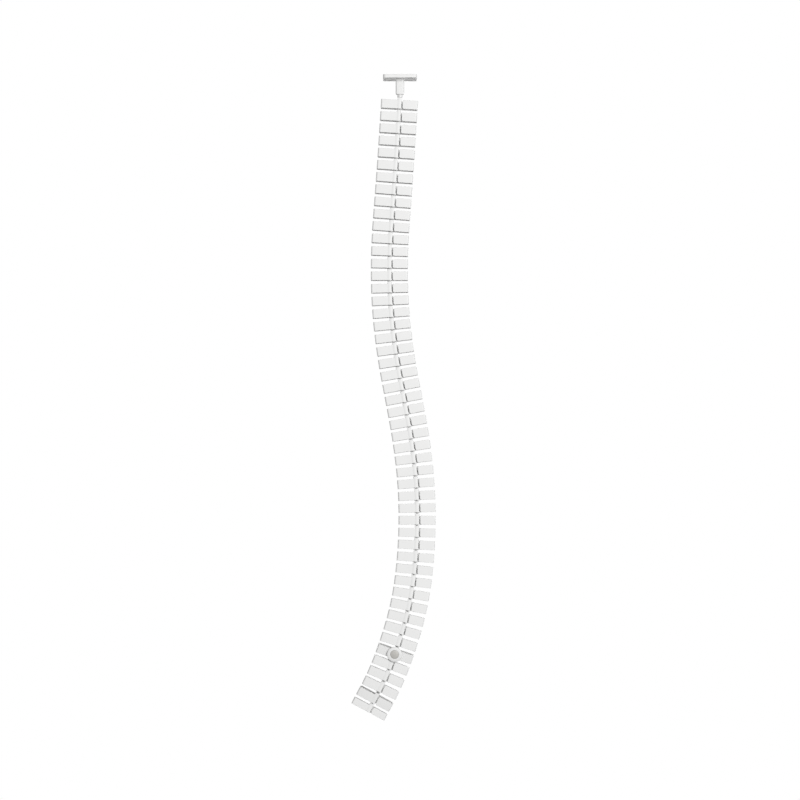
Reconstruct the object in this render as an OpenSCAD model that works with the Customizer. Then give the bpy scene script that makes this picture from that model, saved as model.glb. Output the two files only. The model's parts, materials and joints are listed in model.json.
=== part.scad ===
// Cable spine: a chain of moulded links that hangs from a bracket under a desk and leads cables to the floor.
// Each link has an S-shaped wall with two cable channels, a ball on top and a socket below.
// Millimetres, +Z up, the front towards -Y, the origin in the middle of the bracket's top face.

/* [Links] */
// Number of links below the bracket
link_count = 51; // [12:1:57]
// Width of a link from side to side
link_width = 70; // [60:1:80]
// Depth of a link from front to back
link_depth = 25; // [22:0.5:32]
// Height of the plates of an ordinary link
plate_height = 16.7; // [14:0.1:20]
// Height of the plates of the end link
end_plate_height = 13.2; // [10:0.1:16]
// Gap between the plates of two neighbours in a straight chain
plate_gap = 6.6; // [6:0.1:9]
// Thickness of the S-shaped wall
wall = 2.2; // [1.6:0.1:2.8]
// Outer radius of the upright corners
corner_radius = 3; // [1:0.1:5]
// Width of the slots that cables are pushed through
slot_width = 2.2; // [1.6:0.1:5]
// Radius of the two corners at the free end of a plate
free_end_radius = 3; // [1:0.1:5]

/* [Spine] */
// Width of the upright strip in the middle of the front
spine_width = 7.8; // [7:0.1:11]
// Height by which the crowned strip stands proud of the plates
spine_crown = 0.4; // [0.2:0.1:0.8]
// Least gap between two strips when a link swings to its limit
strip_clearance = 0.4; // [0.3:0.1:0.8]
// Length of the socket's boss below the plates
boss_drop = 1; // [0.4:0.1:1.8]
// Thickness of the rib between the two channels
rib_thickness = 2.4; // [1.6:0.1:4]
// Share of the front slot's width that the foot at the strip's lower end takes up
foot_share = 0.7; // [0.4:0.05:0.8]
// Height of the foot beside the strip
foot_height = 3.2; // [2.4:0.1:5]
// Height of the foot at its tip
foot_tip = 0.6; // [0.4:0.1:1]

/* [Ball joint] */
// Diameter of the ball
ball_diameter = 7.2; // [6.6:0.1:8]
// Gap all round between a ball and its socket
ball_clearance = 0.15; // [0.1:0.01:0.3]
// Thickness of the wall round a socket
socket_wall = 1.05; // [0.8:0.05:1.6]
// How much less the radius of the socket's throat is than the ball's
snap_depth = 0.6; // [0.3:0.05:0.8]
// Diameter of the neck under the ball
neck_diameter = 4.4; // [3.6:0.1:4.8]
// Least gap between a neck and the mouth of its socket
neck_clearance = 0.35; // [0.2:0.05:0.6]
// Height of a ball's middle above the mouth of its socket
mouth_depth = 5.2; // [4.8:0.1:6]
// Diameter of the shoulder that carries the neck
shoulder_diameter = 8; // [6:0.1:9]
// Gap between a shoulder and the boss above it
shoulder_gap = 1.6; // [1.2:0.1:2.2]
// Largest swing of a link from a straight line
swing_limit = 8; // [4:0.5:9]

/* [Bracket] */
// Width of the screw plate
bracket_width = 64; // [56:1:80]
// Depth of the screw plate
bracket_depth = 60; // [54:1:80]
// Thickness of the screw plate
bracket_thickness = 6.6; // [5:0.1:10]
// Radius of the plate's corners
bracket_corner = 5; // [3:0.5:8]
// Thickness of the plate's skin, rim and ribs, and of the stem's wall
bracket_wall = 2.4; // [1.6:0.1:3]
// Length of the stem from the desk to its lower end
stem_end = 35.3; // [30:0.1:60]
// Width of the stem
stem_width = 16.2; // [14:0.1:24]
// Depth of the stem
stem_depth = 16; // [15:0.1:22]
// Radius of the stem's upright corners
stem_corner = 3; // [1:0.1:5]
// Radius of the stem's two lower corners, seen from the front
stem_round = 3; // [1:0.1:3.5]
// Radius of the fillets between the stem and the plate
stem_fillet = 1.6; // [1:0.1:4]
// Length of the socket nose below the stem
nose_length = 6; // [2:0.1:8]
// Distance between screw holes, across and along
screw_spacing = 40; // [34:0.5:42]
// Diameter of the screw holes
screw_hole = 4.5; // [3.5:0.1:5]
// Diameter of the screw heads' countersinks
screw_head = 8.6; // [7:0.1:9.6]

/* [Magnet] */
// Place of the magnet link, counted from the end of the chain
magnet_place = 6; // [3:1:10]
// Diameter of the magnet
magnet_diameter = 16; // [12:0.5:18]
// Thickness of the magnet
magnet_thickness = 4; // [2:0.1:4.4]
// Gap between the magnet and the side of its pocket
magnet_clearance = 0.15; // [0.05:0.05:0.3]
// Height by which the magnet stands proud of its pocket
magnet_proud = 0.3; // [0.1:0.1:1]
// Outer diameter of the pocket
pocket_diameter = 28.6; // [24:0.1:29]
// Length of the pocket's neck in front of the plates
pocket_neck = 1.6; // [1.5:0.1:3]
// Depth of the pocket's cone in front of its neck
pocket_cone = 2; // [1.6:0.1:4]
// Depth of the pocket's rim with its bevel
pocket_rim = 2.6; // [2.4:0.1:5]
// Bevel round the pocket's front
pocket_bevel = 2; // [0.5:0.1:2.2]

/* [Rest pose] */
// Forward nod of the magnet link and of the last link but one
nod_angle = 5; // [0:0.5:6]

/* [Hidden] */
$fn = 64;
// Margin that takes a cut past a face
past = 1;
// Lean of the chain along its length: the link's number, and its lean towards +X on the way down
LEAN = [[1, -3.5], [4, -3.6], [8, -4.3], [11, -4.2], [15, 0], [20, 6.7], [24, 10.9], [27, 10.4],
        [31, 6.1], [35, 0], [40, -6.9], [44, -16.1], [47, -20.5], [50, -28.2], [51, -28]];

// Levels below the middle of a link's own ball
plates_above = mouth_depth - boss_drop;
strip_top = plates_above + (link_depth / 2 + spine_crown) * sin(swing_limit) + strip_clearance;
shoulder_top = mouth_depth + shoulder_gap;
plate_top = plates_above + plate_gap;
link_pitch = plate_height + plate_gap;

// Ball joint
ball_radius = ball_diameter / 2;
socket_radius = ball_radius + ball_clearance;
boss_radius = socket_radius + socket_wall;
throat_radius = ball_radius - snap_depth;
throat_depth = sqrt(pow(socket_radius, 2) - pow(throat_radius, 2));
neck_swing = neck_diameter / 2 / cos(swing_limit) + mouth_depth * sin(swing_limit);
mouth_radius = max(throat_radius, neck_swing + neck_clearance);

// Section of a link: its front slot is beside the strip, its back slot beside the rib and hidden by the strip
inner_corner = max(corner_radius - wall, 0.3);
crown_radius = (pow(spine_width / 2, 2) + pow(spine_crown, 2)) / (2 * spine_crown);
front_slot = spine_width / 2;
back_slot = rib_thickness / 2;
foot_reach = foot_share * slot_width;
foot_radius = (pow(foot_height - foot_tip, 2) + pow(foot_reach, 2)) / (2 * foot_reach);

// Bracket
first_pivot = stem_end + nose_length - mouth_depth;
core_depth = first_pivot - socket_radius - bracket_wall;
screw_boss_radius = screw_head / 2 + bracket_wall / 2;
countersink_depth = (screw_head - screw_hole) / 2;

// Magnet
magnet_number = link_count + 1 - round(magnet_place);
pocket_root = plate_height - 1;
pocket_back = link_depth / 2 + pocket_neck;
pocket_front = pocket_back + pocket_cone + pocket_rim;
pocket_floor = pocket_front + magnet_proud - magnet_thickness;

function link_name(number) =
    number == link_count ? "end_link" :
    number == magnet_number ? "magnet_link" :
    str("link_", number < 10 ? "0" : "", number);

// Rest pose: each link hangs from the ball of its own, in the socket of the piece above
function lean(number) = lookup(number, LEAN);
function nod(number) = number == magnet_number || number == link_count - 1 ? nod_angle : 0;
function link_turn(number) = [nod(number), -lean(number), 0];
function link_step(number) =
    link_pitch * [cos(nod(number)) * sin(lean(number)), sin(nod(number)), -cos(nod(number)) * cos(lean(number))];
function pivot(number) = number == 1 ? [0, 0, -first_pivot] : pivot(number - 1) + link_step(number - 1);

module at_link(number) {
    translate(pivot(number)) rotate(link_turn(number)) children();
}

// Flat outlines
module rounded_rectangle(width, depth, radius) {
    square([width - 2 * radius, depth], center = true);
    square([width, depth - 2 * radius], center = true);
    for (x = [-1, 1], y = [-1, 1])
        translate([x * (width / 2 - radius), y * (depth / 2 - radius)]) circle(radius);
}

// What lies between a corner at the origin and a circle towards +X and +Y that touches both its sides
module corner_web(radius) {
    difference() {
        translate([-past, -past]) square(radius + past);
        translate([radius, radius]) circle(radius);
    }
}

// Upright outline in X and Z, made as deep as asked about Y = 0
module upright(depth) {
    rotate([90, 0, 0]) linear_extrude(depth, center = true) children();
}

module front_slot_outline(start) {
    translate([start, -link_depth / 2 - past]) square([slot_width, wall + 2 * past]);
}

module s_outline(closed_front) {
    difference() {
        rounded_rectangle(link_width, link_depth, corner_radius);
        rounded_rectangle(link_width - 2 * wall, link_depth - 2 * wall, inner_corner);
        if (!closed_front) front_slot_outline(front_slot);
        rotate(180) front_slot_outline(back_slot);
    }
}

module crowned_strip() {
    intersection() {
        translate([0, crown_radius - spine_crown - link_depth / 2]) circle(crown_radius, $fn = 256);
        translate([-spine_width / 2, -link_depth / 2 - spine_crown])
            square([spine_width, wall + spine_crown]);
    }
}

// Cuts that round the upper and the lower corner of a plate's free end in front
module free_end_corners(slot, height) {
    translate([slot + slot_width, (wall - link_depth) / 2, -plate_top]) upright(wall + 2 * past) {
        translate([0, -height]) corner_web(free_end_radius);
        rotate(-90) corner_web(free_end_radius);
    }
}

// Foot of the strip, which narrows the lower end of the front slot
module slot_foot() {
    translate([front_slot, (wall - link_depth) / 2, 0]) upright(wall) difference() {
        translate([-past, 0]) square([past + foot_reach, foot_height]);
        translate([foot_radius, foot_height]) circle(foot_radius);
    }
}

// Ball, neck and shoulder on top of a link
module ball_stud() {
    sphere(ball_radius);
    translate([0, 0, -shoulder_top - past]) cylinder(d = neck_diameter, h = shoulder_top + past);
    translate([0, 0, -plate_top - past]) cylinder(d = shoulder_diameter, h = plate_top - shoulder_top + past);
}

// Hollow of a socket, with the middle of the ball at the origin
module socket_hollow() {
    sphere(socket_radius);
    translate([0, 0, -mouth_depth])
        cylinder(r1 = mouth_radius, r2 = throat_radius, h = mouth_depth - throat_depth);
    translate([0, 0, -mouth_depth - past]) cylinder(r = mouth_radius, h = past);
}

module link_body(height, drop, closed_front) {
    low = -plate_top - height;
    difference() {
        translate([0, 0, low]) linear_extrude(height) s_outline(closed_front);
        if (!closed_front) free_end_corners(front_slot, height);
        rotate(180) free_end_corners(back_slot, height);
    }
    translate([0, 0, low]) {
        linear_extrude(-shoulder_top - low) square([rib_thickness, link_depth - wall], center = true);
        linear_extrude(-strip_top - low) crowned_strip();
        if (!closed_front) slot_foot();
    }
    translate([0, 0, low - drop]) cylinder(r = boss_radius, h = height + drop);
    ball_stud();
}

module ordinary_link() {
    color("white") difference() {
        link_body(plate_height, boss_drop, false);
        translate([0, 0, -link_pitch]) socket_hollow();
    }
}

module end_link() {
    color("white") link_body(end_plate_height, 0, false);
}

// Place of the magnet's axis, which points to the front, on the magnet link
module on_magnet_axis() {
    translate([0, 0, -plate_top - plate_height / 2]) rotate([90, 0, 0]) children();
}

module magnet_link() {
    color("white") difference() {
        union() {
            link_body(plate_height, boss_drop, true);
            on_magnet_axis() {
                translate([0, 0, link_depth / 2 - wall]) cylinder(d = pocket_root, h = wall + pocket_neck);
                translate([0, 0, pocket_back]) cylinder(d1 = pocket_root, d2 = pocket_diameter, h = pocket_cone);
                translate([0, 0, pocket_back + pocket_cone])
                    cylinder(d = pocket_diameter, h = pocket_rim - pocket_bevel);
                translate([0, 0, pocket_front - pocket_bevel])
                    cylinder(d1 = pocket_diameter, d2 = pocket_diameter - 2 * pocket_bevel, h = pocket_bevel);
            }
        }
        translate([0, 0, -link_pitch]) socket_hollow();
        on_magnet_axis() translate([0, 0, pocket_floor])
            cylinder(r = magnet_diameter / 2 + magnet_clearance, h = magnet_thickness + past);
    }
}

module magnet() {
    color("silver") on_magnet_axis() translate([0, 0, pocket_floor])
        cylinder(d = magnet_diameter, h = magnet_thickness);
}

module screw_places() {
    for (x = [-1, 1], y = [-1, 1]) translate([x, y] * screw_spacing / 2) children();
}

// Hollows between the ribs in the plate's upper side
module rib_hollows() {
    difference() {
        rounded_rectangle(bracket_width - 2 * bracket_wall, bracket_depth - 2 * bracket_wall,
                          max(bracket_corner - bracket_wall, 0.3));
        rounded_rectangle(stem_width, stem_depth, stem_corner);
        screw_places() circle(screw_boss_radius);
        square([bracket_width, bracket_wall], center = true);
        square([bracket_wall, bracket_depth], center = true);
        for (turn = [-45, 45]) rotate(turn)
            square([screw_spacing * sqrt(2), bracket_wall], center = true);
    }
}

// Stem with its fillets under the plate, and the nose of its socket
module stem() {
    side = stem_width / 2;
    difference() {
        translate([0, 0, -stem_end]) linear_extrude(stem_end - bracket_thickness + past / 2)
            rounded_rectangle(stem_width, stem_depth, stem_corner);
        upright(stem_depth + 2 * past) {
            translate([-side, -stem_end]) corner_web(stem_round);
            translate([side, -stem_end]) rotate(90) corner_web(stem_round);
        }
    }
    upright(stem_depth - 2 * stem_corner) {
        translate([-side, -bracket_thickness]) rotate(180) corner_web(stem_fillet);
        translate([side, -bracket_thickness]) rotate(-90) corner_web(stem_fillet);
    }
    translate([0, 0, -stem_end - nose_length]) cylinder(r = boss_radius, h = nose_length + past);
}

module top_bracket() {
    color("white") difference() {
        union() {
            translate([0, 0, -bracket_thickness]) linear_extrude(bracket_thickness)
                rounded_rectangle(bracket_width, bracket_depth, bracket_corner);
            stem();
        }
        translate([0, 0, bracket_wall - bracket_thickness]) linear_extrude(bracket_thickness) rib_hollows();
        translate([0, 0, -core_depth]) linear_extrude(core_depth + past)
            rounded_rectangle(stem_width - 2 * bracket_wall, stem_depth - 2 * bracket_wall,
                              max(stem_corner - bracket_wall, 0.3));
        screw_places() {
            translate([0, 0, -bracket_thickness - past]) cylinder(d = screw_hole, h = bracket_thickness + 2 * past);
            translate([0, 0, -bracket_thickness])
                cylinder(d1 = screw_head, d2 = screw_hole, h = countersink_depth);
        }
        translate([0, 0, -first_pivot]) socket_hollow();
    }
}

top_bracket();
for (number = [1 : link_count])
    at_link(number) {
            if (number == link_count) end_link();
            else if (number == magnet_number) magnet_link();
            else ordinary_link();
        }
at_link(magnet_number) magnet();
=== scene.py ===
"""Cable spine: the moulded links, the desk bracket and the magnet as finished pieces, in a white studio."""
import json
import math

import bmesh
import bpy
from bpy.props import FloatProperty, FloatVectorProperty, PointerProperty
from bpy.types import Operator, Panel, PropertyGroup
from mathutils import Matrix, Vector


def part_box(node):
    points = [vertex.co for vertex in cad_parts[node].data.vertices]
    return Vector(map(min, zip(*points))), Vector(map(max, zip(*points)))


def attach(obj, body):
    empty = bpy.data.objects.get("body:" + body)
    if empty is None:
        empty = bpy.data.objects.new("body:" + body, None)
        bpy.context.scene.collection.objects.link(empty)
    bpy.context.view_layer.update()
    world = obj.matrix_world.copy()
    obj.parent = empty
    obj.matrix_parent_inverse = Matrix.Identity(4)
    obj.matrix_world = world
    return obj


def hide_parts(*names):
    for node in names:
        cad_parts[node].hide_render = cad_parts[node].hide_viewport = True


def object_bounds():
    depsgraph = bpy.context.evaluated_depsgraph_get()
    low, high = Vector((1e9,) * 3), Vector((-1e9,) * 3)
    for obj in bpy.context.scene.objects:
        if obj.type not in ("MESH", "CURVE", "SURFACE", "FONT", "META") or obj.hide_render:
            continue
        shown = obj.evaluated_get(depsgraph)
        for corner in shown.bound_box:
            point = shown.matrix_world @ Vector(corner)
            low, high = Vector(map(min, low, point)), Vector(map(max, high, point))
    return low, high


bl_info = {
    "name": "Cable spine",
    "version": (1, 0, 0),
    "blender": (4, 5, 0),
    "location": "View3D > Sidebar > Cable spine",
    "description": "Moulded links, desk bracket and magnet of a hanging cable spine, with their studio",
    "category": "Add Mesh",
}

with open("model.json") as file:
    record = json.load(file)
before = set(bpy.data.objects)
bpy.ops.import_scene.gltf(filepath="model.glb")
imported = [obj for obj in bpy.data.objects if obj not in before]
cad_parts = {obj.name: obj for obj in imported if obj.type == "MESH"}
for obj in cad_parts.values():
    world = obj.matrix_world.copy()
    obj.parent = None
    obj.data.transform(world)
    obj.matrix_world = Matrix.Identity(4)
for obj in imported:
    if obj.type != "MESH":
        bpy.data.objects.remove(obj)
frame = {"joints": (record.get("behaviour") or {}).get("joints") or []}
CAD_BOX = [list(corner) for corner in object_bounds()]

ACROSS = Vector((1, 0, 0))
BACK = Vector((0, 1, 0))
UP = Vector((0, 0, 1))
HALF_TURN = Matrix.Rotation(math.pi, 4, UP)
TO_FRONT = Matrix.Rotation(math.pi / 2, 4, ACROSS)

# In metres: how near two points are one, and how far a cut goes on past a face
SAME_PLACE = 1e-6
PAST = 0.001

# Steps of a full turn, of the arcs of a ball, a socket and a strip's crown, and of rounded corners and edges
ROUND_STEPS = 64
BALL_STEPS = 16
SOCKET_STEPS = 12
CROWN_STEPS = 8
CORNER_STEPS = 6
EDGE_STEPS = 2

# Least angle of an edge that is rounded or shaded sharp, and least share of a side face's normal along X
SHARP_EDGE = math.radians(50)
FACES_ASIDE = 0.999

# Levels of detail of the textures
CLOUD_DETAIL = 3
FINE_DETAIL = 2

# Sockets of a Mix node that mixes colours
MIX_FACTOR, MIX_FIRST, MIX_SECOND = 0, 6, 7


def length(name, description, default):
    return FloatProperty(name=name, description=description, default=default, min=0, unit="LENGTH",
                         precision=4)


def tint(name, description, default):
    return FloatVectorProperty(name=name, description=description, default=default, size=3, min=0, max=1,
                               subtype="COLOR")


def spot(name, description, default):
    return FloatVectorProperty(name=name, description=description, default=default, size=3,
                               subtype="TRANSLATION")


def amount(name, description, default):
    return FloatProperty(name=name, description=description, default=default, min=0)


class LinkSizes(PropertyGroup):
    """Sizes of a moulded link, and of the ball and socket that join two of them."""

    width: length("Width", "Width of a link from side to side", 0.070)
    depth: length("Depth", "Depth of a link from front to back", 0.025)
    plate_height: length("Plate height", "Height of the plates of an ordinary link", 0.0167)
    end_plate_height: length("End plate height", "Height of the plates of the end link", 0.0132)
    plate_gap: length("Plate gap", "Gap between the plates of two neighbours", 0.0066)
    wall: length("Wall", "Thickness of the S-shaped wall", 0.0022)
    corner_radius: length("Corner radius", "Outer radius of the upright corners", 0.003)
    slot_width: length("Slot width", "Width of the slots that cables are pushed through", 0.0022)
    free_end_radius: length("Free end radius", "Radius of the corners at a plate's free end", 0.003)
    edge_round: length("Edge round", "Radius of the moulded edges", 0.0005)
    turned_round: length("Turned round", "Radius of the edges of the boss and the shoulder", 0.0003)
    spine_width: length("Spine width", "Width of the strip in the middle of the front", 0.0078)
    spine_crown: length("Spine crown", "Height of the strip's crown above the plates", 0.0004)
    strip_gap: length("Strip gap", "Gap between two strips in a straight chain", 0.0022)
    boss_drop: length("Boss drop", "Length of the socket's boss below the plates", 0.001)
    rib: length("Rib", "Thickness of the rib between the two channels", 0.0024)
    foot_reach: length("Foot reach", "Reach of the strip's foot into the slot in front", 0.00154)
    foot_height: length("Foot height", "Height of the foot beside the strip", 0.0032)
    foot_tip: length("Foot tip", "Height of the foot at its tip", 0.0006)
    ball_radius: length("Ball radius", "Radius of the ball on top", 0.0036)
    socket_radius: length("Socket radius", "Radius of the socket's hollow", 0.00375)
    boss_radius: length("Boss radius", "Radius of the boss round the socket", 0.0048)
    throat_radius: length("Throat radius", "Radius of the narrowest part of the socket", 0.003)
    mouth_radius: length("Mouth radius", "Radius of the socket's mouth", 0.0033)
    mouth_depth: length("Mouth depth", "Height of a ball's middle above its socket's mouth", 0.0052)
    neck_radius: length("Neck radius", "Radius of the neck under the ball", 0.0022)
    shoulder_radius: length("Shoulder radius", "Radius of the shoulder under the neck", 0.004)
    shoulder_gap: length("Shoulder gap", "Gap between a shoulder and the boss above it", 0.0016)

    @property
    def plate_top(self):
        return self.mouth_depth - self.boss_drop + self.plate_gap

    @property
    def strip_top(self):
        return self.mouth_depth - self.boss_drop + self.strip_gap

    @property
    def shoulder_top(self):
        return self.mouth_depth + self.shoulder_gap

    @property
    def front_free_end(self):
        return self.spine_width / 2 + self.slot_width

    @property
    def back_free_end(self):
        return self.rib / 2 + self.slot_width


class BracketSizes(PropertyGroup):
    """Sizes of the bracket under the desk."""

    width: length("Width", "Width of the screw plate", 0.064)
    depth: length("Depth", "Depth of the screw plate", 0.060)
    thickness: length("Thickness", "Thickness of the screw plate", 0.0066)
    corner: length("Corner", "Radius of the plate's corners", 0.005)
    wall: length("Wall", "Thickness of the plate's skin, rim and ribs", 0.0024)
    edge_round: length("Edge round", "Radius of the plate's edges", 0.0006)
    stem_end: length("Stem end", "Length of the stem from the desk to its lower end", 0.0353)
    stem_width: length("Stem width", "Width of the stem", 0.0162)
    stem_depth: length("Stem depth", "Depth of the stem", 0.016)
    stem_corner: length("Stem corner", "Radius of the stem's upright corners", 0.003)
    stem_round: length("Stem round", "Radius of the stem's two lower corners", 0.003)
    stem_fillet: length("Stem fillet", "Radius of the fillets under the plate", 0.0016)
    nose: length("Nose", "Length of the socket nose below the stem", 0.006)
    screw_spacing: length("Screw spacing", "Distance between screw holes", 0.040)
    screw_hole: length("Screw hole", "Radius of the screw holes", 0.00225)
    screw_head: length("Screw head", "Radius of the countersinks", 0.0043)


class MagnetSizes(PropertyGroup):
    """Sizes of the magnet and of its pocket."""

    radius: length("Radius", "Radius of the magnet", 0.008)
    thickness: length("Thickness", "Thickness of the magnet", 0.004)
    proud: length("Proud", "Height of the magnet above its pocket", 0.0003)
    chamfer: length("Chamfer", "Chamfer at the magnet's edge", 0.0004)
    clearance: length("Clearance", "Gap between the magnet and its pocket", 0.00015)
    pocket_radius: length("Pocket radius", "Outer radius of the pocket", 0.0143)
    pocket_root: length("Pocket root", "Radius of the pocket's neck", 0.00785)
    pocket_neck: length("Pocket neck", "Length of the neck in front of the plates", 0.0016)
    pocket_cone: length("Pocket cone", "Depth of the pocket's cone", 0.002)
    pocket_rim: length("Pocket rim", "Depth of the pocket's rim with its bevel", 0.0026)
    pocket_bevel: length("Pocket bevel", "Bevel round the pocket's front", 0.0012)
    edge_round: length("Edge round", "Radius of the pocket's edges", 0.0003)

    def front(self, sizes):
        """Distance of the pocket's front from the middle of its link."""
        return sizes.depth / 2 + self.pocket_neck + self.pocket_cone + self.pocket_rim


class PlasticFinish(PropertyGroup):
    """Colours and grain of the plastic."""

    colour: tint("Colour", "White moulded plastic", (0.74, 0.74, 0.735))
    shade: tint("Shade", "Slightly darker clouds in the plastic", (0.71, 0.71, 0.705))
    cloud_scale: amount("Cloud scale", "Scale of the clouds", 45)
    grain_scale: amount("Grain scale", "Scale of the spark-eroded grain", 2600)
    grain_strength: amount("Grain strength", "Strength of the grain's bumps", 0.3)
    grain_height: length("Grain height", "Height of the grain's bumps", 0.0001)
    roughness: amount("Roughness", "Least roughness of the surface", 0.44)
    grain_roughness: amount("Grain roughness", "Roughness that the grain adds", 0.1)
    refraction: amount("Refraction", "Index of refraction", 1.49)


class MagnetFinish(PropertyGroup):
    """Colours and turned rings of the magnet's plating."""

    colour: tint("Colour", "Dull plated face of the magnet", (0.49, 0.48, 0.455))
    shade: tint("Shade", "Darker rings and clouds on the magnet", (0.435, 0.425, 0.4))
    cloud_scale: amount("Cloud scale", "Scale of the clouds", 300)
    ring_scale: amount("Ring scale", "Scale of the rings", 1100)
    ring_wander: amount("Ring wander", "How far the rings stray from true circles", 1.2)
    ring_share: amount("Ring share", "Share of the rings in the wear, beside the clouds", 0.4)
    ring_strength: amount("Ring strength", "Strength of the rings' bumps", 0.1)
    ring_height: length("Ring height", "Height of the rings' bumps", 0.00005)
    metal: amount("Metal", "How metallic the plating is", 0.3)
    roughness: amount("Roughness", "Least roughness of the surface", 0.42)
    cloud_roughness: amount("Cloud roughness", "Roughness that the clouds add", 0.12)


class StudioSettings(PropertyGroup):
    """Camera and light."""

    lens: amount("Lens", "Focal length of the camera in millimetres", 165.3)
    distance: length("Distance", "Distance of the camera from the spine", 6.95)
    eye_level: length("Eye level", "Depth of the camera below the desk", 0.841)
    aim_level: length("Aim level", "Depth below the desk of the point in the middle of the picture", 0.6155)
    reach: length("Reach", "Distance up to which the camera sees", 100)
    floor_colour: tint("Floor colour", "Pale studio floor", (1, 1, 1))
    floor_gap: length("Floor gap", "Gap between the spine's lowest point and the floor", 0.03)
    floor_size: length("Floor size", "Side of the floor", 30)
    key_place: spot("Key place", "Place of the softbox in front", (1.8, -5.1, 0.25))
    key_size: length("Key size", "Side of the softbox in front", 2.6)
    key_power: amount("Key power", "Power of the softbox in front, in watts", 254)
    back_place: spot("Back place", "Place of the softbox behind", (1.6, 4.8, 0.8))
    back_size: length("Back size", "Side of the softbox behind", 4.4)
    back_power: amount("Back power", "Power of the softbox behind, in watts", 150)
    ambient_colour: tint("Ambient colour", "Colour of the light from all round", (1, 1, 1))
    ambient: amount("Ambient", "Strength of the light from all round", 0.365)


class CableSpineSettings(PropertyGroup):
    """Everything that a user may change."""

    link: PointerProperty(type=LinkSizes)
    bracket: PointerProperty(type=BracketSizes)
    magnet: PointerProperty(type=MagnetSizes)
    plastic: PointerProperty(type=PlasticFinish)
    plating: PointerProperty(type=MagnetFinish)
    studio: PointerProperty(type=StudioSettings)


class Wire:
    """An output of a node. Sums and products of wires add Math nodes."""

    def __init__(self, shading, socket):
        self.shading = shading
        self.socket = socket

    def maths(self, operation, first, second):
        return self.shading.node("ShaderNodeMath", {"operation": operation}, {0: first, 1: second})

    def __add__(self, other):
        return self.maths("ADD", self, other)

    def __radd__(self, other):
        return self.maths("ADD", other, self)

    def __rsub__(self, other):
        return self.maths("SUBTRACT", other, self)

    def __mul__(self, other):
        return self.maths("MULTIPLY", self, other)

    def __rmul__(self, other):
        return self.maths("MULTIPLY", other, self)


class Shading:
    """The node tree of a material or of the world."""

    def __init__(self, owner, output_kind):
        owner.use_nodes = True
        self.tree = owner.node_tree
        self.tree.nodes.clear()
        self.output = self.tree.nodes.new(output_kind)

    def node(self, kind, settings=None, inputs=None, output=None):
        """Adds a node with its settings and inputs, and gives one of its outputs: the first unless named."""
        made = self.tree.nodes.new(kind)
        for name, value in (settings or {}).items():
            setattr(made, name, value)
        for key, value in (inputs or {}).items():
            if isinstance(value, Wire):
                self.tree.links.new(value.socket, made.inputs[key])
            else:
                made.inputs[key].default_value = value
        live = [socket for socket in made.outputs if socket.enabled]
        return Wire(self, made.outputs[output] if output else live[0])

    def mix_colours(self, factor, first, second):
        return self.node("ShaderNodeMix", {"data_type": "RGBA"},
                         {MIX_FACTOR: factor, MIX_FIRST: first, MIX_SECOND: second})

    def place(self):
        return self.node("ShaderNodeTexCoord", output="Object")

    def noise(self, place, scale, detail):
        return self.node("ShaderNodeTexNoise", inputs={"Vector": place, "Scale": scale, "Detail": detail})

    def bump(self, height, strength, distance):
        return self.node("ShaderNodeBump",
                         inputs={"Strength": strength, "Distance": distance, "Height": height})

    def finish(self, shader):
        self.tree.links.new(shader.socket, self.output.inputs["Surface"])


def opaque(colour):
    return (*colour, 1)


def white_plastic(finish):
    """Satin white plastic with faint clouds in its colour and a fine spark-eroded grain."""
    name = "white_plastic"
    if name in bpy.data.materials:
        return bpy.data.materials[name]
    material = bpy.data.materials.new(name)
    shading = Shading(material, "ShaderNodeOutputMaterial")
    place = shading.place()
    clouds = shading.noise(place, finish.cloud_scale, CLOUD_DETAIL)
    grain = shading.noise(place, finish.grain_scale, FINE_DETAIL)
    shading.finish(shading.node("ShaderNodeBsdfPrincipled", inputs={
        "Base Color": shading.mix_colours(clouds, opaque(finish.shade), opaque(finish.colour)),
        "Roughness": finish.roughness + finish.grain_roughness * grain,
        "IOR": finish.refraction,
        "Normal": shading.bump(grain, finish.grain_strength, finish.grain_height),
    }))
    return material


def magnet_plating(finish, middle):
    """Dull plating with fine turned rings about the magnet's middle."""
    material = bpy.data.materials.new("magnet_plating")
    shading = Shading(material, "ShaderNodeOutputMaterial")
    place = shading.place()
    centred = shading.node("ShaderNodeMapping", {"vector_type": "TEXTURE"},
                           {"Vector": place, "Location": middle})
    rings = shading.node("ShaderNodeTexWave", {"wave_type": "RINGS", "rings_direction": "SPHERICAL"},
                         {"Vector": centred, "Scale": finish.ring_scale, "Distortion": finish.ring_wander,
                          "Detail": FINE_DETAIL}, "Fac")
    clouds = shading.noise(place, finish.cloud_scale, CLOUD_DETAIL)
    wear = finish.ring_share * rings + (1 - finish.ring_share) * clouds
    shading.finish(shading.node("ShaderNodeBsdfPrincipled", inputs={
        "Base Color": shading.mix_colours(wear, opaque(finish.shade), opaque(finish.colour)),
        "Metallic": finish.metal,
        "Roughness": finish.roughness + finish.cloud_roughness * clouds,
        "Normal": shading.bump(rings, finish.ring_strength, finish.ring_height),
    }))
    return material


def floor_paint(colour):
    """A floor that looks the same all over."""
    material = bpy.data.materials.new("studio_floor")
    shading = Shading(material, "ShaderNodeOutputMaterial")
    shading.finish(shading.node("ShaderNodeEmission", inputs={"Color": opaque(colour)}))
    return material


def along(shell, start, *points):
    """Carries a profile on from a vertex along straight lines, and gives the last vertex."""
    for radius, height in points:
        start = bmesh.ops.extrude_vert_indiv(shell, verts=[start])["verts"][0]
        start.co = (radius, 0, height)
    return start


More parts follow.
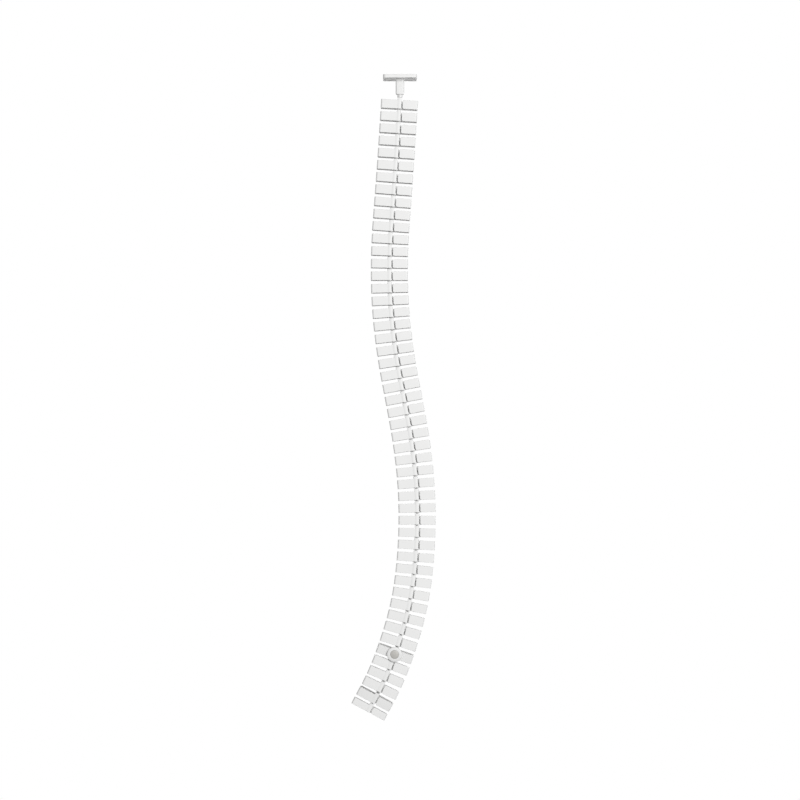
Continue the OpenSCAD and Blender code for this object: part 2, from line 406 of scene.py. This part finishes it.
def round_a_bend(shell, start, middle, angle, steps):
    """Carries a profile on from a vertex along an arc about a middle, and gives the last vertex."""
    made = bmesh.ops.spin(shell, geom=[start], cent=(middle[0], 0, middle[1]), axis=BACK, dvec=(0, 0, 0),
                          angle=angle, steps=steps, use_merge=False, use_normal_flip=False,
                          use_duplicate=False)
    return next(item for item in made["geom_last"] if isinstance(item, bmesh.types.BMVert))


def close(shell):
    bmesh.ops.remove_doubles(shell, verts=shell.verts, dist=SAME_PLACE)
    bmesh.ops.recalc_face_normals(shell, faces=shell.faces)


def turn_round(shell):
    """Turns a profile about the Z axis, into a closed shell."""
    bmesh.ops.spin(shell, geom=shell.verts[:] + shell.edges[:], cent=(0, 0, 0), axis=UP, dvec=(0, 0, 0),
                   angle=math.tau, steps=ROUND_STEPS, use_merge=True, use_normal_flip=False,
                   use_duplicate=False)
    close(shell)


def bevel(shell, edges, radius, segments):
    bmesh.ops.bevel(shell, geom=edges, offset=radius, offset_type="OFFSET", segments=segments, profile=0.5,
                    affect="EDGES", clamp_overlap=True, material=-1)


def round_edges(shell, radius):
    """Rounds every outer edge that a mould leaves sharp."""
    edges = [edge for edge in shell.edges
             if edge.is_manifold and edge.is_convex and edge.calc_face_angle() > SHARP_EDGE]
    bevel(shell, edges, radius, EDGE_STEPS)


def block(size, middle):
    shell = bmesh.new()
    bmesh.ops.create_cube(shell, size=1)
    bmesh.ops.scale(shell, verts=shell.verts, vec=size)
    bmesh.ops.translate(shell, verts=shell.verts, vec=middle)
    return shell


def rounded_block(size, middle, corner):
    """A block with rounded upright edges."""
    shell = block(size, middle)
    upright = [edge for edge in shell.edges if abs((edge.verts[0].co - edge.verts[1].co).z) > SAME_PLACE]
    bevel(shell, upright, corner, CORNER_STEPS)
    return shell


def rod(radius, low, high, middle=(0, 0)):
    """An upright cylinder between two levels."""
    shell = bmesh.new()
    bmesh.ops.create_cone(shell, cap_ends=True, segments=ROUND_STEPS, radius1=radius, radius2=radius,
                          depth=high - low)
    bmesh.ops.translate(shell, verts=shell.verts, vec=(*middle, (low + high) / 2))
    return shell


def filled(shell, depth):
    """Fills a closed profile in X and Z, and gives it a depth about Y = 0."""
    bmesh.ops.remove_doubles(shell, verts=shell.verts, dist=SAME_PLACE)
    outline = shell.faces.new(shell.verts)
    outline.normal_update()
    if outline.normal.y > 0:
        outline.normal_flip()
    bmesh.ops.solidify(shell, geom=[outline], thickness=depth)
    bmesh.ops.recalc_face_normals(shell, faces=shell.faces)
    bmesh.ops.translate(shell, verts=shell.verts, vec=(0, -depth / 2, 0))
    return shell


def moved(shell, matrix):
    bmesh.ops.transform(shell, matrix=matrix, verts=shell.verts)
    return shell


def as_object(name, shell):
    mesh = bpy.data.meshes.new(name)
    shell.to_mesh(mesh)
    shell.free()
    made = bpy.data.objects.new(name, mesh)
    bpy.context.scene.collection.objects.link(made)
    return made


def carved(name, start, steps):
    """One closed mesh: a shell that others, each with its operation, are joined to or cut from in turn."""
    base = as_object(name, start)
    tools = []
    for operation, shell in steps:
        tools.append(as_object(name + "_tool", shell))
        modifier = base.modifiers.new(operation, "BOOLEAN")
        modifier.operation = operation
        modifier.solver = "MANIFOLD"
        modifier.object = tools[-1]
    mesh = bpy.data.meshes.new_from_object(base.evaluated_get(bpy.context.evaluated_depsgraph_get()))
    for spent in [base, *tools]:
        bpy.data.meshes.remove(spent.data)
    shell = bmesh.new()
    shell.from_mesh(mesh)
    bmesh.ops.remove_doubles(shell, verts=shell.verts, dist=SAME_PLACE)
    open_edges = [edge for edge in shell.edges if not edge.is_manifold]
    shell.to_mesh(mesh)
    shell.free()
    if open_edges:
        raise RuntimeError(f"{name} has {len(open_edges)} open edges")
    return mesh


def piece(name, mesh, matrix, body, node, material):
    """A finished piece: its place is in its mesh, and it rides on its body in place of a node."""
    mesh.transform(matrix)
    mesh.shade_smooth()
    mesh.set_sharp_from_angle(angle=SHARP_EDGE)
    mesh.materials.clear()
    mesh.materials.append(material)
    made = bpy.data.objects.new(name, mesh)
    bpy.context.scene.collection.objects.link(made)
    shine = made.modifiers.new("Even shine", "WEIGHTED_NORMAL")
    shine.keep_sharp = True
    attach(made, body)
    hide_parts(node)
    return made


def link_places():
    """Each link's own frame in the rest pose: the middle of its ball, with -Z down the chain."""
    joints = frame["joints"]
    places = {}
    for joint, below in zip(joints, [*joints[1:], None]):
        pivot = Vector(joint["pos_m"])
        axis = Vector(joint["axis"]).normalized()
        if below is None:
            across = axis
            up = across.cross(BACK)
        else:
            up = (pivot - Vector(below["pos_m"])).normalized()
            across = axis if joint["name"].endswith("_nod") else up.cross(axis)
        back = up.cross(across)
        turn = Matrix((across, back, up)).transposed().to_4x4()
        places[joint["child"]] = Matrix.Translation(pivot) @ turn
    return places


def socket_cut(sizes, pivot):
    """The hollow of a socket with the broken edge of its mouth, carried on past it."""
    shell = bmesh.new()
    throat_depth = math.sqrt(sizes.socket_radius ** 2 - sizes.throat_radius ** 2)
    sweep = math.pi - math.asin(sizes.throat_radius / sizes.socket_radius)
    mouth = pivot - sizes.mouth_depth
    broken = sizes.edge_round / 2
    rim = sizes.mouth_radius + broken
    top = shell.verts.new((0, 0, pivot + sizes.socket_radius))
    throat = round_a_bend(shell, top, (0, pivot), sweep, SOCKET_STEPS)
    throat.co = (sizes.throat_radius, 0, pivot - throat_depth)
    along(shell, throat, (sizes.mouth_radius, mouth + broken), (rim, mouth), (rim, mouth - PAST),
          (0, mouth - PAST))
    turn_round(shell)
    return shell


def spindle(sizes, height, drop):
    """The turned middle of a link: the ball, its neck and shoulder, and the boss below."""
    shell = bmesh.new()
    low = -sizes.plate_top - height - drop
    start = shell.verts.new((0, 0, low))
    ball_bottom = math.sqrt(sizes.ball_radius ** 2 - sizes.neck_radius ** 2)
    ball_start = along(shell, start, (sizes.boss_radius, low), (sizes.boss_radius, -sizes.plate_top),
                       (sizes.shoulder_radius, -sizes.plate_top),
                       (sizes.shoulder_radius, -sizes.shoulder_top),
                       (sizes.neck_radius, -sizes.shoulder_top), (sizes.neck_radius, -ball_bottom))
    sweep = math.pi - math.asin(sizes.neck_radius / sizes.ball_radius)
    pole = round_a_bend(shell, ball_start, (0, 0), -sweep, BALL_STEPS)
    pole.co = (0, 0, sizes.ball_radius)
    turn_round(shell)
    round_edges(shell, sizes.turned_round)
    return shell


def jaw(sizes, height, free_end, root):
    """A C-shaped jaw: a strip bent round three sides of the right channel, with its free end in front."""
    shell = bmesh.new()
    half_width, half_depth = sizes.width / 2, sizes.depth / 2
    last = shell.verts.new((free_end, -half_depth, -sizes.plate_top))
    for x, y in ((half_width, -half_depth), (half_width, half_depth), (root, half_depth)):
        last = bmesh.ops.extrude_vert_indiv(shell, verts=[last])["verts"][0]
        last.co = (x, y, -sizes.plate_top)
    made = bmesh.ops.extrude_edge_only(shell, edges=shell.edges)
    lower = [item for item in made["geom"] if isinstance(item, bmesh.types.BMVert)]
    bmesh.ops.translate(shell, verts=lower, vec=(0, 0, -height))
    corners = [edge for edge in shell.edges
               if all(abs(v.co.x - half_width) < SAME_PLACE for v in edge.verts) and not edge.is_boundary]
    bevel(shell, corners, sizes.corner_radius, CORNER_STEPS)
    bmesh.ops.recalc_face_normals(shell, faces=shell.faces)
    side = next(face for face in shell.faces if abs(face.normal.x) > FACES_ASIDE)
    if side.normal.x < 0:
        bmesh.ops.reverse_faces(shell, faces=shell.faces)
    bmesh.ops.solidify(shell, geom=shell.faces, thickness=sizes.wall)
    bmesh.ops.recalc_face_normals(shell, faces=shell.faces)
    if free_end:
        tips = [edge for edge in shell.edges
                if all(abs(v.co.x - free_end) < SAME_PLACE for v in edge.verts)
                and abs((edge.verts[0].co - edge.verts[1].co).y) > SAME_PLACE]
        bevel(shell, tips, sizes.free_end_radius, CORNER_STEPS)
    round_edges(shell, sizes.edge_round)
    return shell


def crowned_strip(sizes, low):
    """The upright strip in the middle of the front, which stands proud of the plates and rises above them."""
    shell = bmesh.new()
    half = sizes.spine_width / 2
    crown = (half ** 2 + sizes.spine_crown ** 2) / (2 * sizes.spine_crown)
    start = shell.verts.new((-half, -sizes.depth / 2, -sizes.strip_top))
    middle = (0, crown - sizes.spine_crown - sizes.depth / 2, -sizes.strip_top)
    bmesh.ops.spin(shell, geom=[start], cent=middle, axis=UP, dvec=(0, 0, 0), angle=2 * math.asin(half / crown),
                   steps=CROWN_STEPS, use_merge=False, use_normal_flip=False, use_duplicate=False)
    made = bmesh.ops.extrude_edge_only(shell, edges=shell.edges)
    lower = [item for item in made["geom"] if isinstance(item, bmesh.types.BMVert)]
    bmesh.ops.translate(shell, verts=lower, vec=(0, 0, low + sizes.strip_top))
    bmesh.ops.recalc_face_normals(shell, faces=shell.faces)
    if next(iter(shell.faces)).normal.y > 0:
        bmesh.ops.reverse_faces(shell, faces=shell.faces)
    bmesh.ops.solidify(shell, geom=shell.faces, thickness=sizes.wall)
    bmesh.ops.recalc_face_normals(shell, faces=shell.faces)
    round_edges(shell, sizes.edge_round)
    return shell


def slot_foot(sizes, low):
    """The foot at the strip's lower end, which narrows the slot in front."""
    shell = bmesh.new()
    reach, rise = sizes.foot_reach, sizes.foot_height - sizes.foot_tip
    radius = (rise ** 2 + reach ** 2) / (2 * reach)
    last = along(shell, shell.verts.new((-PAST, 0, 0)), (reach, 0), (reach, sizes.foot_tip))
    sweep = math.atan2(rise, radius - reach)
    last = round_a_bend(shell, last, (radius, sizes.foot_height), sweep, CORNER_STEPS)
    along(shell, last, (-PAST, sizes.foot_height))
    filled(shell, sizes.wall)
    round_edges(shell, sizes.edge_round / 2)
    return moved(shell, Matrix.Translation((sizes.spine_width / 2, (sizes.wall - sizes.depth) / 2, low)))


def link_steps(sizes, height, drop, has_socket, closed_front):
    """The shells of a link, in the order in which they are joined and cut."""
    low = -sizes.plate_top - height
    rib = block((sizes.rib, sizes.depth - sizes.wall, -sizes.shoulder_top - low),
                (0, 0, (low - sizes.shoulder_top) / 2))
    steps = [
        ("UNION", moved(jaw(sizes, height, sizes.back_free_end, 0), HALF_TURN)),
        ("UNION", crowned_strip(sizes, low)),
        ("UNION", rib),
        ("UNION", spindle(sizes, height, drop)),
    ]
    if not closed_front:
        steps.append(("UNION", slot_foot(sizes, low)))
    if has_socket:
        steps.append(("DIFFERENCE", socket_cut(sizes, low - drop + sizes.mouth_depth)))
    return jaw(sizes, height, 0 if closed_front else sizes.front_free_end, -sizes.rib / 2), steps


def magnet_axis(sizes):
    """The frame of the magnet on its link: +Z to the front."""
    return Matrix.Translation((0, 0, -sizes.plate_top - sizes.plate_height / 2)) @ TO_FRONT


def magnet_pocket(sizes, magnet):
    """The turned pocket: a neck and a cone that widens to a bevelled rim, and the hollow for the magnet."""
    shell = bmesh.new()
    low = (sizes.depth - sizes.wall) / 2
    front = magnet.front(sizes)
    rim_start = front - magnet.pocket_rim
    floor = front + magnet.proud - magnet.thickness
    hollow = magnet.radius + magnet.clearance
    start = shell.verts.new((0, 0, low))
    along(shell, start, (magnet.pocket_root, low), (magnet.pocket_root, rim_start - magnet.pocket_cone),
          (magnet.pocket_radius, rim_start), (magnet.pocket_radius, front - magnet.pocket_bevel),
          (magnet.pocket_radius - magnet.pocket_bevel, front), (hollow, front), (hollow, floor), (0, floor))
    turn_round(shell)
    round_edges(shell, magnet.edge_round)
    return moved(shell, magnet_axis(sizes))


def magnet_disc(sizes, magnet):
    """A disc with a chamfered edge."""
    shell = bmesh.new()
    front = magnet.front(sizes) + magnet.proud
    low = front - magnet.thickness
    start = shell.verts.new((0, 0, low))
    along(shell, start, (magnet.radius - magnet.chamfer, low), (magnet.radius, low + magnet.chamfer),
          (magnet.radius, front - magnet.chamfer), (magnet.radius - magnet.chamfer, front), (0, front))
    turn_round(shell)
    return moved(shell, magnet_axis(sizes))


def screw_cut(bracket, middle):
    """A screw hole with its countersink in the plate's underside."""
    shell = bmesh.new()
    past = bracket.thickness
    under = -bracket.thickness
    sink = bracket.screw_head - bracket.screw_hole
    start = shell.verts.new((0, 0, under - past))
    along(shell, start, (bracket.screw_head, under - past), (bracket.screw_head, under),
          (bracket.screw_hole, under + sink), (bracket.screw_hole, past), (0, past))
    turn_round(shell)
    bmesh.ops.translate(shell, verts=shell.verts, vec=(*middle, 0))
    return shell


def corner_web(radius, depth, turn, corner):
    """What lies between a corner and a round that touches both its sides: cut off or filled in."""
    shell = bmesh.new()
    last = along(shell, shell.verts.new((-PAST, 0, -PAST)), (radius, -PAST), (radius, 0))
    last = round_a_bend(shell, last, (radius, radius), math.pi / 2, CORNER_STEPS)
    along(shell, last, (-PAST, radius))
    place = Matrix.Translation((corner[0], 0, corner[1])) @ Matrix.Rotation(-turn, 4, BACK)
    return moved(filled(shell, depth), place)


def stem_steps(sizes, bracket):
    """The stem under the plate: rounded corners, fillets and a hollow core, and the nose with the socket."""
    side, deep = bracket.stem_width / 2, bracket.stem_depth
    pivot = sizes.mouth_depth - bracket.stem_end - bracket.nose
    core = -pivot - sizes.socket_radius - bracket.wall
    straight = deep - 2 * bracket.stem_corner
    under, low = -bracket.thickness, -bracket.stem_end
    bar = rounded_block((2 * side, deep, -low), (0, 0, low / 2), bracket.stem_corner)
    hollow = rounded_block((2 * (side - bracket.wall), deep - 2 * bracket.wall, core + PAST),
                           (0, 0, (PAST - core) / 2), bracket.stem_corner - bracket.wall)
    return [
        ("UNION", bar),
        ("DIFFERENCE", corner_web(bracket.stem_round, deep + PAST, 0, (-side, low))),
        ("DIFFERENCE", corner_web(bracket.stem_round, deep + PAST, math.pi / 2, (side, low))),
        ("UNION", corner_web(bracket.stem_fillet, straight, math.pi, (-side, under))),
        ("UNION", corner_web(bracket.stem_fillet, straight, -math.pi / 2, (side, under))),
        ("UNION", rod(sizes.boss_radius, low - bracket.nose, low + PAST)),
        ("DIFFERENCE", hollow),
        ("DIFFERENCE", socket_cut(sizes, pivot)),
    ]


def bracket_steps(sizes, bracket):
    """The screw plate, then the steps that give it its hollow, ribs, bosses, holes and stem."""
    size = Vector((bracket.width, bracket.depth, bracket.thickness))
    middle = Vector((0, 0, -bracket.thickness / 2))
    plate = rounded_block(size, middle, bracket.corner)
    round_edges(plate, bracket.edge_round)
    skin = Vector((2 * bracket.wall, 2 * bracket.wall, 0))
    hollow = rounded_block(size - skin, middle + bracket.wall * UP, bracket.corner - bracket.wall)
    low = bracket.wall / 2 - bracket.thickness
    spots = [(x * bracket.screw_spacing / 2, y * bracket.screw_spacing / 2) for x in (-1, 1) for y in (-1, 1)]
    rib_middle = Vector((0, 0, low / 2))
    steps = [("DIFFERENCE", hollow)]
    steps.append(("UNION", block((bracket.width - bracket.wall, bracket.wall, -low), rib_middle)))
    steps.append(("UNION", block((bracket.wall, bracket.depth - bracket.wall, -low), rib_middle)))
    for angle in (-math.pi / 4, math.pi / 4):
        rib = block((bracket.screw_spacing * math.sqrt(2), bracket.wall, -low), rib_middle)
        steps.append(("UNION", moved(rib, Matrix.Rotation(angle, 4, UP))))
    for spot in spots:
        steps.append(("UNION", rod(bracket.screw_head + bracket.wall / 2, low, 0, spot)))
    for spot in spots:
        steps.append(("DIFFERENCE", screw_cut(bracket, spot)))
    return plate, steps + stem_steps(sizes, bracket)


class CABLESPINE_OT_bracket(Operator):
    """Make the bracket that is screwed under the desk"""

    bl_idname = "cable_spine.bracket"
    bl_label = "Desk bracket"

    def execute(self, context):
        settings = context.scene.cable_spine
        mesh = carved("moulded_bracket", *bracket_steps(settings.link, settings.bracket))
        piece("moulded_bracket", mesh, Matrix.Identity(4), "bracket", "top_bracket",
              white_plastic(settings.plastic))
        return {"FINISHED"}


class CABLESPINE_OT_links(Operator):
    """Make the ordinary links of the chain"""

    bl_idname = "cable_spine.links"
    bl_label = "Ordinary links"

    def execute(self, context):
        settings = context.scene.cable_spine
        sizes = settings.link
        pattern = carved("moulded_link", *link_steps(sizes, sizes.plate_height, sizes.boss_drop, True, False))
        for node, place in link_places().items():
            if node.startswith("link_"):
                piece("moulded_" + node, pattern.copy(), place, node, node, white_plastic(settings.plastic))
        bpy.data.meshes.remove(pattern)
        return {"FINISHED"}


class CABLESPINE_OT_magnet_link(Operator):
    """Make the link that carries the magnet"""

    bl_idname = "cable_spine.magnet_link"
    bl_label = "Magnet link"

    def execute(self, context):
        settings = context.scene.cable_spine
        sizes = settings.link
        start, steps = link_steps(sizes, sizes.plate_height, sizes.boss_drop, True, True)
        steps.append(("UNION", magnet_pocket(sizes, settings.magnet)))
        mesh = carved("moulded_magnet_link", start, steps)
        piece("moulded_magnet_link", mesh, link_places()["magnet_link"], "magnet_link", "magnet_link",
              white_plastic(settings.plastic))
        return {"FINISHED"}


class CABLESPINE_OT_magnet(Operator):
    """Make the magnet"""

    bl_idname = "cable_spine.magnet"
    bl_label = "Magnet"

    def execute(self, context):
        settings = context.scene.cable_spine
        low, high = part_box("magnet")
        mesh = carved("plated_magnet", magnet_disc(settings.link, settings.magnet), [])
        piece("plated_magnet", mesh, link_places()["magnet_link"], "magnet_link", "magnet",
              magnet_plating(settings.plating, (low + high) / 2))
        return {"FINISHED"}


class CABLESPINE_OT_end_link(Operator):
    """Make the last link of the chain, which has no socket"""

    bl_idname = "cable_spine.end_link"
    bl_label = "End link"

    def execute(self, context):
        settings = context.scene.cable_spine
        sizes = settings.link
        mesh = carved("moulded_end_link", *link_steps(sizes, sizes.end_plate_height, 0, False, False))
        piece("moulded_end_link", mesh, link_places()["end_link"], "end_link", "end_link",
              white_plastic(settings.plastic))
        return {"FINISHED"}


def aimed(name, data, place, aim):
    """A light or a camera that looks from its place at a point."""
    made = bpy.data.objects.new(name, data)
    made.location = place
    made.rotation_euler = (aim - place).to_track_quat("-Z", "Y").to_euler()
    bpy.context.scene.collection.objects.link(made)
    return made


def softbox(name, place, aim, side, power):
    light = bpy.data.lights.new(name, "AREA")
    light.shape = "SQUARE"
    light.size = side
    light.energy = power
    aimed(name, light, Vector(place), aim)


class CABLESPINE_OT_studio(Operator):
    """Set up the floor, the light and the camera"""

    bl_idname = "cable_spine.studio"
    bl_label = "Studio"

    def execute(self, context):
        scene = context.scene
        studio = scene.cable_spine.studio
        aim = Vector((0, 0, -studio.aim_level))

        shell = bmesh.new()
        bmesh.ops.create_grid(shell, x_segments=1, y_segments=1, size=studio.floor_size / 2)
        bmesh.ops.translate(shell, verts=shell.verts, vec=(0, 0, CAD_BOX[0][2] - studio.floor_gap))
        floor = as_object("studio_floor", shell)
        floor.data.materials.append(floor_paint(studio.floor_colour))
        floor.visible_diffuse = False
        floor.visible_glossy = False
        floor.visible_shadow = False

        softbox("front_softbox", studio.key_place, aim, studio.key_size, studio.key_power)
        softbox("back_softbox", studio.back_place, aim, studio.back_size, studio.back_power)

        world = bpy.data.worlds.new("white_studio")
        scene.world = world
        shading = Shading(world, "ShaderNodeOutputWorld")
        seen = shading.node("ShaderNodeLightPath", output="Is Camera Ray")
        strength = seen + (1 - seen) * studio.ambient
        shading.finish(shading.node("ShaderNodeBackground", inputs={
            "Color": opaque(studio.ambient_colour),
            "Strength": strength,
        }))

        camera = bpy.data.cameras.new("photo_camera")
        camera.lens = studio.lens
        camera.clip_end = studio.reach
        scene.camera = aimed("photo_camera", camera, Vector((0, -studio.distance, -studio.eye_level)), aim)
        scene.view_settings.view_transform = "Standard"
        return {"FINISHED"}


class CABLESPINE_PT_panel(Panel):
    """The sidebar's list of pieces and sizes"""

    bl_idname = "CABLESPINE_PT_panel"
    bl_label = "Cable spine"
    bl_space_type = "VIEW_3D"
    bl_region_type = "UI"
    bl_category = "Cable spine"

    def draw(self, context):
        settings = context.scene.cable_spine
        for operator in OPERATORS:
            self.layout.operator(operator.bl_idname)
        groups = (settings.link, settings.bracket, settings.magnet, settings.plastic, settings.plating,
                  settings.studio)
        for group in groups:
            box = self.layout.box()
            for name in group.bl_rna.properties.keys():
                if name not in {"rna_type", "name"}:
                    box.prop(group, name)


OPERATORS = (CABLESPINE_OT_bracket, CABLESPINE_OT_links, CABLESPINE_OT_magnet_link, CABLESPINE_OT_magnet,
             CABLESPINE_OT_end_link, CABLESPINE_OT_studio)
CLASSES = (LinkSizes, BracketSizes, MagnetSizes, PlasticFinish, MagnetFinish, StudioSettings,
           CableSpineSettings, *OPERATORS, CABLESPINE_PT_panel)


def register():
    for made in CLASSES:
        bpy.utils.register_class(made)
    bpy.types.Scene.cable_spine = PointerProperty(type=CableSpineSettings)


def unregister():
    del bpy.types.Scene.cable_spine
    for made in reversed(CLASSES):
        bpy.utils.unregister_class(made)


def main():
    register()
    bpy.ops.cable_spine.bracket()
    bpy.ops.cable_spine.links()
    bpy.ops.cable_spine.magnet_link()
    bpy.ops.cable_spine.magnet()
    bpy.ops.cable_spine.end_link()
    bpy.ops.cable_spine.studio()


if __name__ == "__main__":
    main()
